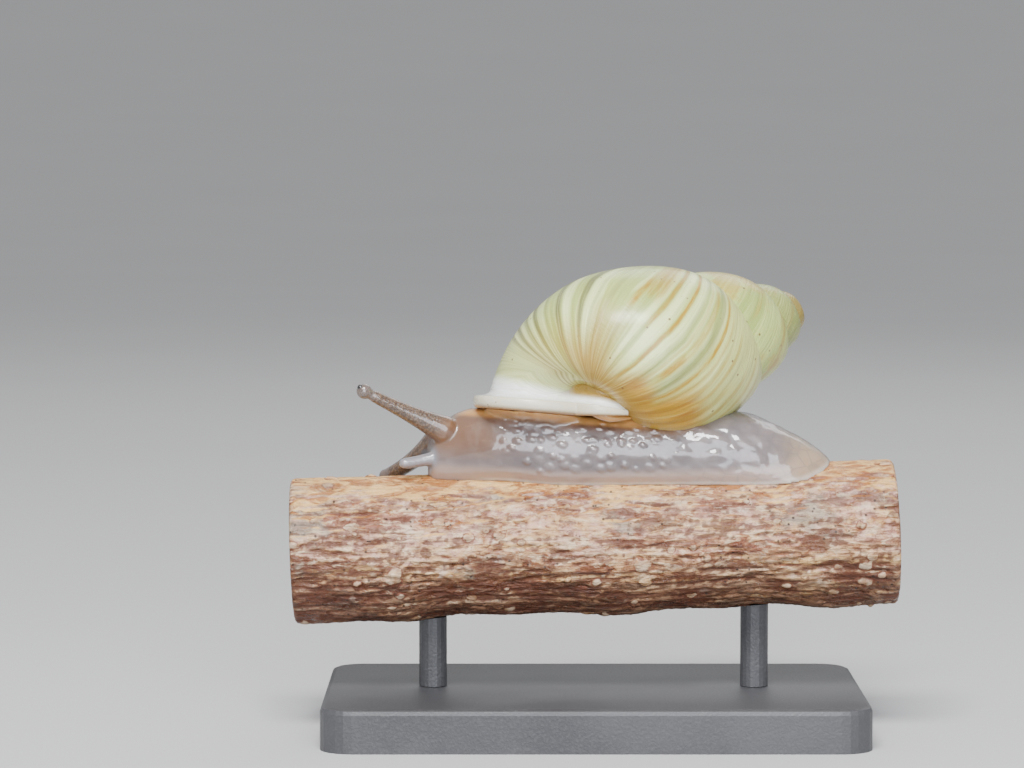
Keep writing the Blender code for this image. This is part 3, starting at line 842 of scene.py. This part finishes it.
# -------- shell materials
def spire_tints(look, colour, girth, medium, lines):
    """Straw spire with ochre flecks, darker and browner towards the apex."""
    turns, = look.values("turns")
    flecks, streaks = look.noise(look.place, 420, 4, 0.6), lines(26, 0.6, 2, 3)
    return look.tint(
        colour, (medium, 0.53, 0.64, 0.3, (0.5, 0.57, 0.19)),
        (medium, 0.46, 0.36, 0.25, (0.22, 0.29, 0.06)),
        (flecks, 0.53, 0.63, 0.7, (0.42, 0.29, 0.04)), (streaks, 0.57, 0.66, 0.7, (0.38, 0.25, 0.035)),
        (turns, 1.7, 2.6, 0.7, (0.17, 0.18, 0.045)), (turns, 2.6, 3.4, 0.85, (0.25, 0.165, 0.022)),
        (girth, 0.05, -0.75, 0.55, (0.3, 0.21, 0.035)))


def body_tints(look, colour, line, girth, medium, fine, lines):
    """Body whorl: white and olive streaks, golden base, ochre lines, milk-white by the lip."""
    step, times = look.step, look.times
    white, olive = (0.74, 0.82, 0.36), (0.105, 0.105, 0.03)
    mouth, rise = look.values("mouth", "rise")

    def band(at, half, strength):
        away = look.math("ABSOLUTE", look.math("SUBTRACT", line, at))
        return step(away, half * 1.8, half * 0.4, strength)

    def between(low, high):
        """The part of the whorl's girth between two angles, in degrees."""
        return (step(girth, low / 90 - 0.1, low / 90 + 0.08),
                step(girth, high / 90 + 0.12, high / 90 - 0.08))

    def layer(bands):
        total = 0
        for one in bands:
            total = look.larger(total, one)
        return total

    young = times(step(line, 0.12, 0.02), step(girth, -0.75, -0.45))
    faint = look.linear(lines(60, 3, 2, 5), 1.1, 0.4, clamp=True)
    cream = times(step(line, 0.42, 0.5), step(girth, -0.4, 0.15))
    # golden below and behind, where the wall is older
    low = look.larger(times(step(line, 0.43, 0.52), step(girth, 0.25, -0.35)),
                      times(step(line, 0.355, 0.43), step(girth, -0.2, -0.6)))
    gold = look.mix(step(medium, 0.4, 0.6), (0.35, 0.15, 0.003), (0.52, 0.29, 0.016))
    colour = look.tint(colour, (medium, 0.54, 0.62, 0.55, white),
                       (medium, 0.44, 0.35, 0.45, (0.19, 0.22, 0.055)))
    colour = look.mix(layer([band(*one) for one in WHITE]), colour, white)
    colour = look.tint(colour, (line, 0.09, 0.01, 0.65, (0.52, 0.53, 0.25)),
                       (fine, 0.44, 0.58, 0.4, white, young), (fine, 0.42, 0.3, 0.35, olive, young))
    colour = look.mix(times(layer([band(*one) for one in OLIVE]), faint), colour, olive)
    colour = look.tint(colour, (cream, 0, 1, 0.5, (0.66, 0.64, 0.25)), (low, 0, 0.8, 1, gold))
    marks = layer([times(band(*one[:3]), *between(*one[3:])) for one in OCHRE])
    broken = step(look.streaks(line, girth, 90, 5, 4, 0.6, 2), 0.34, 0.56)
    colour = look.mix(times(marks, look.linear(broken, 0.45, 0.55)), colour, (0.38, 0.225, 0.006))
    # a smoky patch, tan about the umbilicus below it, and the white that runs into the lip
    smoke = times(step(line, 0.222, 0.25), step(line, 0.33, 0.29), step(girth, -0.1, -0.45, 0.8),
                  look.linear(medium, 1.2, 0.25, clamp=True))
    tan_at = times(step(girth, -0.36, -0.74), step(mouth, 0.11, 0.22),
                   look.linear(step(line, 0.08, 0.22), 0.6, 0.4))
    tans = look.mix(step(fine, 0.4, 0.6), (0.33, 0.185, 0.018), (0.44, 0.285, 0.045))
    slope = look.linear(look.math("DIVIDE", look.parted(look.place)[0], MM), 0.16, 0.7)
    milk = times(step(mouth, 0.24, 0.15), step(look.plus(rise, slope), 1.45, 0.9))
    for share, over in ((smoke, (0.35, 0.235, 0.045)), (tan_at, tans), (milk, (0.9, 0.92, 0.84))):
        colour = look.mix(share, colour, over)
    return colour


def shell_look(name, spire):
    """Glossy shell, streaked along its growth lines; line is the age of the wall in turns."""
    look = Look(name, IOR=1.5, Coat_Weight=0.5, Coat_Roughness=0.2, Subsurface_Weight=0.1,
                Subsurface_Scale=0.3 * MM, Subsurface_Radius=(1, 0.8, 0.4))
    growth, girth, suture = look.values("growth", "girth", "suture")
    wobble = look.streaks(growth, girth, 8, 3)
    line = look.plus(growth, look.times(look.math("SUBTRACT", wobble, 0.5), 0.008))

    def lines(per_turn, drift, detail=2, seed=0):
        return look.streaks(line, girth, per_turn, drift, detail, 0.55, seed)

    broad, medium, fine = lines(11, 0.5, 1, 4), lines(38, 0.8, 2, 9), lines(150, 1.5, 2)
    colour = look.mix(look.step(broad, 0.38, 0.6), (0.32, 0.4, 0.095), (0.45, 0.53, 0.15))
    if spire:
        colour = spire_tints(look, colour, girth, medium, lines)
    else:
        colour = body_tints(look, colour, line, girth, medium, fine, lines)
    specks = look.specks(1500, 0.11, 0.07, 700, 1, 0.42, 0.47)
    colour = look.tint(
        colour, (fine, 0.53, 0.66, 0.22, (0.66, 0.7, 0.28)), (fine, 0.46, 0.34, 0.22, (0.24, 0.2, 0.04)),
        (suture, 0.3, 0.08, 0.3, (0.62, 0.66, 0.28)), (suture, 0.1, 0.02, 0.55, (0.17, 0.13, 0.03)),
        (specks, 0, 1, 0.85, (0.13, 0.06, 0.02)))
    relief = look.plus(look.times(medium, 0.55), look.times(fine, 0.45))
    cross = look.plus(look.times(look.noise(look.place, 5200, 2), 0.4),
                      look.times(look.streaks(line, girth, 40, 60, 3, 0.6), 0.6))
    normal = look.bump(cross, 0.026, under=look.bump(relief, 0.085))
    return look.finish(colour, look.linear(look.step(cross, 0.2, 0.8), 0.25, 0.26), normal)


def lip_look():
    """Porcelain-white lip: cream on the rim, tan below it and on the fold over the umbilicus."""
    look = Look("lip", IOR=1.5, Coat_Weight=0.6, Coat_Roughness=0.1, Subsurface_Weight=0.25,
                Subsurface_Scale=0.4 * MM, Subsurface_Radius=(1, 0.85, 0.6))
    across, length, callus = look.values("across", "length", "callus")
    drift = look.streaks(across, length, 12, 26, 4)
    fold = look.times(callus, look.step(length, 0.62, 0.72))
    specks = look.specks(2100, 0.12, 0.07, 800, 1, 0.52, 0.6)
    colour = look.tint(
        (0.93, 0.94, 0.9), (drift, 0.35, 0.65, 1, (0.82, 0.84, 0.74)),
        (across, 0.5, 0.58, 0.75, (0.58, 0.52, 0.34)), (across, 0.72, 0.8, 1, (0.34, 0.19, 0.07)),
        (across, 0.34, 0.14, 1, (0.34, 0.21, 0.04), fold), (specks, 0, 1, 0.8, (0.14, 0.07, 0.03)))
    normal = look.bump(look.streaks(across, length, 160, 14), 0.015)
    return look.finish(colour, look.linear(drift, 0.22, 0.16), normal)


dress(shell_body, shell_look("shell_body_look", False), "shell_body", "shell_body_whorl")
dress(shell_spire, shell_look("shell_spire_look", True), "shell_spire", "shell_penultimate_whorl",
      "shell_third_whorl", "shell_fourth_whorl", "shell_apex")
dress(shell_lip, lip_look(), "shell_lip", "shell_lip")


# -------- skin and eye materials
def skin_look():
    look = Look("skin", IOR=1.45, Coat_Weight=1, Coat_Roughness=0.06, Coat_IOR=1.62,
                Subsurface_Weight=0.6, Subsurface_Scale=0.55 * MM,
                Subsurface_Radius=(1, 0.6, 0.45))
    step, times = look.step, look.times
    x = look.parted(look.place)[0]
    above, lip, knob, band = look.values("above", "under_lip", "knob", "band")
    feeler, bulb, lower = look.values("feeler", "bulb", "lower")
    clouds, grains = look.noise(look.place, 700, 4), look.cells(look.place, 9000)
    tail_at = step(x, 7.6 * MM, 10.4 * MM)
    # the neck and the mantle under the lip are warm, with fine streaks drawn along them
    drift = look.linear(clouds, 0.0016, -0.0008)
    neck = times(step(look.plus(x, drift), -1.4 * MM, -7 * MM), step(above, 0.3, 2.3))
    under = times(step(lip, 1, 0.15), step(x, 6.5 * MM, 3 * MM))
    warm = look.larger(neck, under)
    drawn = look.noise(look.place, (420, 1500, 2600), 4, 0.6, 0.6)
    strip = times(step(lip, 0.55, 0.15), step(x, 3.2 * MM, 1.4 * MM))
    # faint net of darker lines over the foot and tail, and a pale margin along the sole
    net = look.cells(look.place, (1300, 1300, 1900), "DISTANCE_TO_EDGE")
    net_at = step(x, 2 * MM, 7 * MM)
    margin = times(step(above, 0.34, 0.04), step(x, -6 * MM, -4.6 * MM))
    # below the tubercles the flank is smooth and lets warm light through
    colour = look.tint(
        (0.13, 0.108, 0.112), (clouds, 0.35, 0.65, 1, (0.2, 0.165, 0.16)),
        # painted shade: the skin darkens in the grooves between the tubercles
        (knob, 0.2, 0, 0.25, (0.1, 0.08, 0.085), band),
        (above, 1.15, 0.55, 0.8, (0.36, 0.245, 0.185)), (tail_at, 0, 1, 0.8, (0.37, 0.265, 0.165)),
        (warm, 0, 1, 0.9, (0.15, 0.066, 0.026)), (drawn, 0.5, 0.72, 0.55, (0.26, 0.15, 0.08), warm),
        (strip, 0, 1, 0.9, (0.56, 0.285, 0.085)), (net, 0.1, 0, 0.3, (0.14, 0.11, 0.115), net_at),
        (margin, 0, 1, 0.8, (0.5, 0.42, 0.36)))
    # feelers: brown and finely pebbled above, plain grey below, with smoother knobs
    tone = look.mix(step(grains, 0.15, 0.75), (0.15, 0.09, 0.052), (0.07, 0.04, 0.024))
    colour = look.mix(lower, look.mix(feeler, colour, tone), (0.21, 0.195, 0.205))
    colour = look.tint(colour, (bulb, 0, 1, 0.85, (0.13, 0.1, 0.085)))
    smooth = look.math("SUBTRACT", 1, look.larger(bulb, lower))
    pebbles = times(look.math("SUBTRACT", 1, grains), times(feeler, smooth))
    ripple = look.noise(look.place, 2600, 3)
    normal = look.bump(times(ripple, smooth), 0.014, under=look.bump(pebbles, 0.034))
    return look.finish(colour, look.linear(step(ripple, 0.3, 0.7), 0.12, 0.3), normal)


dress(skin, skin_look(), "foot_skin", "head", "neck", "foot", "tail", "mantle_collar",
      "tentacle_upper_left", "tentacle_upper_right", "tentacle_lower_left",
      "tentacle_lower_right")


def eye_look():
    look = Look("eye", IOR=1.45, Coat_Weight=1, Coat_Roughness=0.03)
    depth = look.noise(look.place, 6000, 2)
    colour = look.mix(look.step(depth, 0.3, 0.7), (0.01, 0.009, 0.01), (0.03, 0.026, 0.026))
    return look.finish(colour, look.linear(depth, 0.1, 0.1), look.bump(depth, 0.004))


eye_mat = eye_look()
for side, outwards_way in (("left", -1), ("right", 1)):
    base, tip, _, radii = FEELERS["upper_" + side]
    eye = make_eye("eyeball_" + side, base, tip, radii[3], outwards_way)
    dress(eye, eye_mat, "eye", "eye_" + side)


# -------- bark and stand materials
def cut_wood(look, x, y, z, patch):
    """Pale wood of the cut ends, with rings, rays and a small pith."""
    off_z = look.math("SUBTRACT", z, look.linear(x, tan(PERCH_RISE), PERCH_Z * MM))
    out = look.math("SQRT", look.plus(look.times(y, y), look.times(off_z, off_z)))
    out = look.plus(out, look.times(look.math("SUBTRACT", patch, 0.5), 0.00035))
    rings = look.math("SINE", look.times(out, 2 * pi / (0.55 * MM)))
    rays = look.noise(look.place, (100, 2500, 2500), 3)
    return look.tint(
        (0.62, 0.46, 0.28), (rings, -0.4, 1, 0.6, (0.44, 0.29, 0.15)),
        (rays, 0.5, 0.7, 0.35, (0.72, 0.58, 0.4)), (out, 0.42 * MM, 0.26 * MM, 1, (0.22, 0.12, 0.06)),
        (out, 2.88 * MM, 3.02 * MM, 1, (0.24, 0.12, 0.06)))


def bark_look():
    """Flaky red-brown bark: brightest on top, partly by painted light, mauve on the flank, corded below,
    and darker on the underside and in the hollows by painted shade.
    """
    look = Look("bark", IOR=1.45)
    step, times, place = look.step, look.times, look.place
    x, y, z = look.parted(place)
    up = look.parted(look.node("ShaderNodeNewGeometry").outputs["Normal"])[2]
    grain, patch, mottle, flaky, red, cord, crumbs, grey = [look.noise(place, *kind) for kind in (
        ((110, 900, 900), 5, 0.62, 0.5), ((230, 420, 420), 5, 0.62, 0.8), (1500, 4, 0.62),
        ((700, 1500, 1500), 5, 0.65, 1), ((120, 700, 700), 4, 0.6, 0.5),
        ((60, 1500, 1500), 4, 0.62, 0.3), ((1300, 3800, 3800), 4, 0.65, 0.6), (330, 4, 0.6))]
    # tint measures how far the surface faces up, broken by patches; it places the mauve flank, the lower
    # cords, the painted light on top and the painted shade below
    tint = look.plus(up, look.linear(patch, 1.5, -0.75))
    lentil, hollow, end = look.values("lenticel", "hollow", "cut_end")
    flank = times(step(tint, 0.75, 0.45), step(tint, -0.1, 0.2))
    lower, high_up = step(tint, 0.7, 0.2), step(tint, 0.5, 0.9)
    # tops: the top's orange-cream colours, partly real colour and partly painted light; shade: painted
    # shade for the underside
    tops = look.mix(step(flaky, 0.42, 0.58), (0.36, 0.125, 0.018), (0.74, 0.44, 0.15))
    shade = look.mix(step(flaky, 0.45, 0.6), (0.05, 0.016, 0.008), (0.2, 0.09, 0.05))
    pale = look.mix(step(mottle, 0.4, 0.6), (0.4, 0.235, 0.12), (0.66, 0.5, 0.34))
    rim = times(step(lentil, 0.05, 0.18), step(lentil, 0.42, 0.28))
    specks = look.specks(2600, 0.2, 0.12, 650, 2, 0.5, 0.58)
    colour = look.tint(
        (0.27, 0.09, 0.03), (flaky, 0.4, 0.6, 1, (0.6, 0.35, 0.16)),
        (patch, 0.53, 0.62, 0.45, (0.56, 0.37, 0.23)), (grain, 0.52, 0.62, 0.55, (0.66, 0.47, 0.27)),
        (grain, 0.48, 0.38, 0.85, (0.125, 0.036, 0.016)),
        (mottle, 0.4, 0.56, 0.6, (0.62, 0.38, 0.31), flank), (red, 0.53, 0.62, 0.75, (0.2, 0.05, 0.022)),
        (cord, 0.53, 0.62, 0.65, (0.58, 0.36, 0.13), lower),
        (cord, 0.47, 0.38, 0.8, (0.085, 0.02, 0.008), lower),
        (crumbs, 0.52, 0.62, 0.55, (0.8, 0.62, 0.4)), (crumbs, 0.46, 0.38, 0.65, (0.11, 0.032, 0.012)),
        (mottle, 0.58, 0.7, 0.6, (0.74, 0.58, 0.46)), (grey, 0.58, 0.68, 0.55, (0.2, 0.205, 0.165)),
        # painted light brightens the top, and painted shade darkens the underside
        (high_up, 0, 1, 0.8, tops), (step(tint, 0.15, -0.75), 0, 1, 0.85, shade),
        # painted shade in the hollows of the relief, fading out towards the top
        (hollow, -0.16, -0.52, 0.8, (0.1, 0.028, 0.011), step(tint, 0.95, 0.15)),
        (lentil, 0.3, 0.6, 0.6, pale), (mottle, 0.35, 0.55, 0.75, (0.15, 0.042, 0.02), rim),
        (specks, 0, 1, 0.85, (0.02, 0.01, 0.006)),
        (end, 0.35, 0.65, 1, cut_wood(look, x, y, z, patch)))
    fine = look.noise(place, (700, 3800, 3800), 4, 0.6)
    normal = None
    for height, distance in ((look.plus(grain, times(cord, lower)), 0.14), (fine, 0.05),
                             (flaky, 0.17), (crumbs, 0.15)):
        normal = look.bump(height, distance, under=normal)
    return look.finish(colour, look.linear(step(mottle, 0.35, 0.65), 0.45, 0.24), normal)


dress(perch, bark_look(), "bark", "perch")


def stand_look():
    """Matt dark grey paint, slightly mottled."""
    look = Look("stand_paint", IOR=1.5)
    fine, worn = look.noise(look.place, 9000, 3), look.noise(look.place, 160, 4)
    colour = look.tint((0.04, 0.04, 0.043), (worn, 0.35, 0.65, 1, (0.06, 0.06, 0.064)),
                       (fine, 0.45, 0.75, 0.4, (0.085, 0.085, 0.09)))
    return look.finish(colour, look.linear(fine, 0.25, 0.34), look.bump(fine, 0.02))


stand_mat = stand_look()
for node in ("stand_base", "stand_rod_front", "stand_rod_rear"):
    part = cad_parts[node]
    for slot_ in part.material_slots:
        slot_.material = stand_mat


# -------- floor, light, camera
FLOOR_REACH, FLOOR_LEVEL, FLOOR_CURVE = 1500.0, 450.0, 0.00021    # radius, its level part, its rise
LIT = Vector((0.5, 0, 15.7)) * MM       # where the lights aim
CAMERA_AIM, CAMERA_RISE, CAMERA_AWAY = Vector((-3.81, 0.0, 16.14)) * MM, radians(4.0), 178.6 * MM


def studio():
    """Level floor that rises gently all round far off, and even light from the sky."""
    rings, around = 60, 96
    points = [(0.0, 0.0, 0.0)]
    for k in range(1, rings + 1):
        r = FLOOR_REACH * (k / rings) ** 1.6
        rise = FLOOR_CURVE * max(0.0, r - FLOOR_LEVEL) ** 2
        points += [(r * cos(a), r * sin(a), rise) for a in full_circle(around)]
    faces = [(0, 1 + i, 1 + (i + 1) % around) for i in range(around)]
    for k in range(rings - 1):
        a, b = 1 + k * around, 1 + (k + 1) * around
        faces += [(a + i, b + i, b + (i + 1) % around, a + (i + 1) % around)
                  for i in range(around)]
    floor = add_mesh("floor", points, faces)
    look = Look("floor", Roughness=0.9)
    tone = look.noise(look.place, 30)
    floor.data.materials.append(look.finish(look.mix(tone, (0.5, 0.5, 0.5), (0.53, 0.53, 0.53))))
    world = bpy.data.worlds.new("studio")
    bpy.context.scene.world = world
    world.use_nodes = True
    back = world.node_tree.nodes["Background"]
    back.inputs["Color"].default_value = (0.94, 0.95, 0.97, 1.0)
    back.inputs["Strength"].default_value = 0.66


def softbox(name, azimuth, elevation, distance, wide, high, watts, colour=(1, 1, 1)):
    """Soft light at an angle round the snail: azimuth 0 is its left side, where -Y is."""
    data = bpy.data.lights.new(name, "AREA")
    data.shape, data.size, data.size_y = "RECTANGLE", wide * MM, high * MM
    data.energy, data.color = watts, colour
    lamp = add_object(name, data)
    a, e = radians(azimuth), radians(elevation)
    way = Vector((sin(a) * cos(e), -cos(a) * cos(e), sin(e)))
    lamp.location = LIT + way * distance * MM
    lamp.rotation_euler = (-way).to_track_quat("-Z", "Y").to_euler()


studio()
softbox("key", -8, 52, 220, 100, 60, 0.78)
softbox("front", 3, 15, 260, 205, 190, 0.84, (0.93, 0.97, 1.06))
softbox("back", 165, 40, 260, 160, 120, 0.13)

camera = add_object("camera", bpy.data.cameras.new("camera"))
camera.data.lens, camera.data.sensor_width = 135, 36
camera.data.clip_start, camera.data.clip_end = 0.005, 20
camera.location = CAMERA_AIM + Vector((0, -cos(CAMERA_RISE), sin(CAMERA_RISE))) * CAMERA_AWAY
camera.rotation_euler = (pi / 2 - CAMERA_RISE, 0, 0)
bpy.context.scene.camera = camera
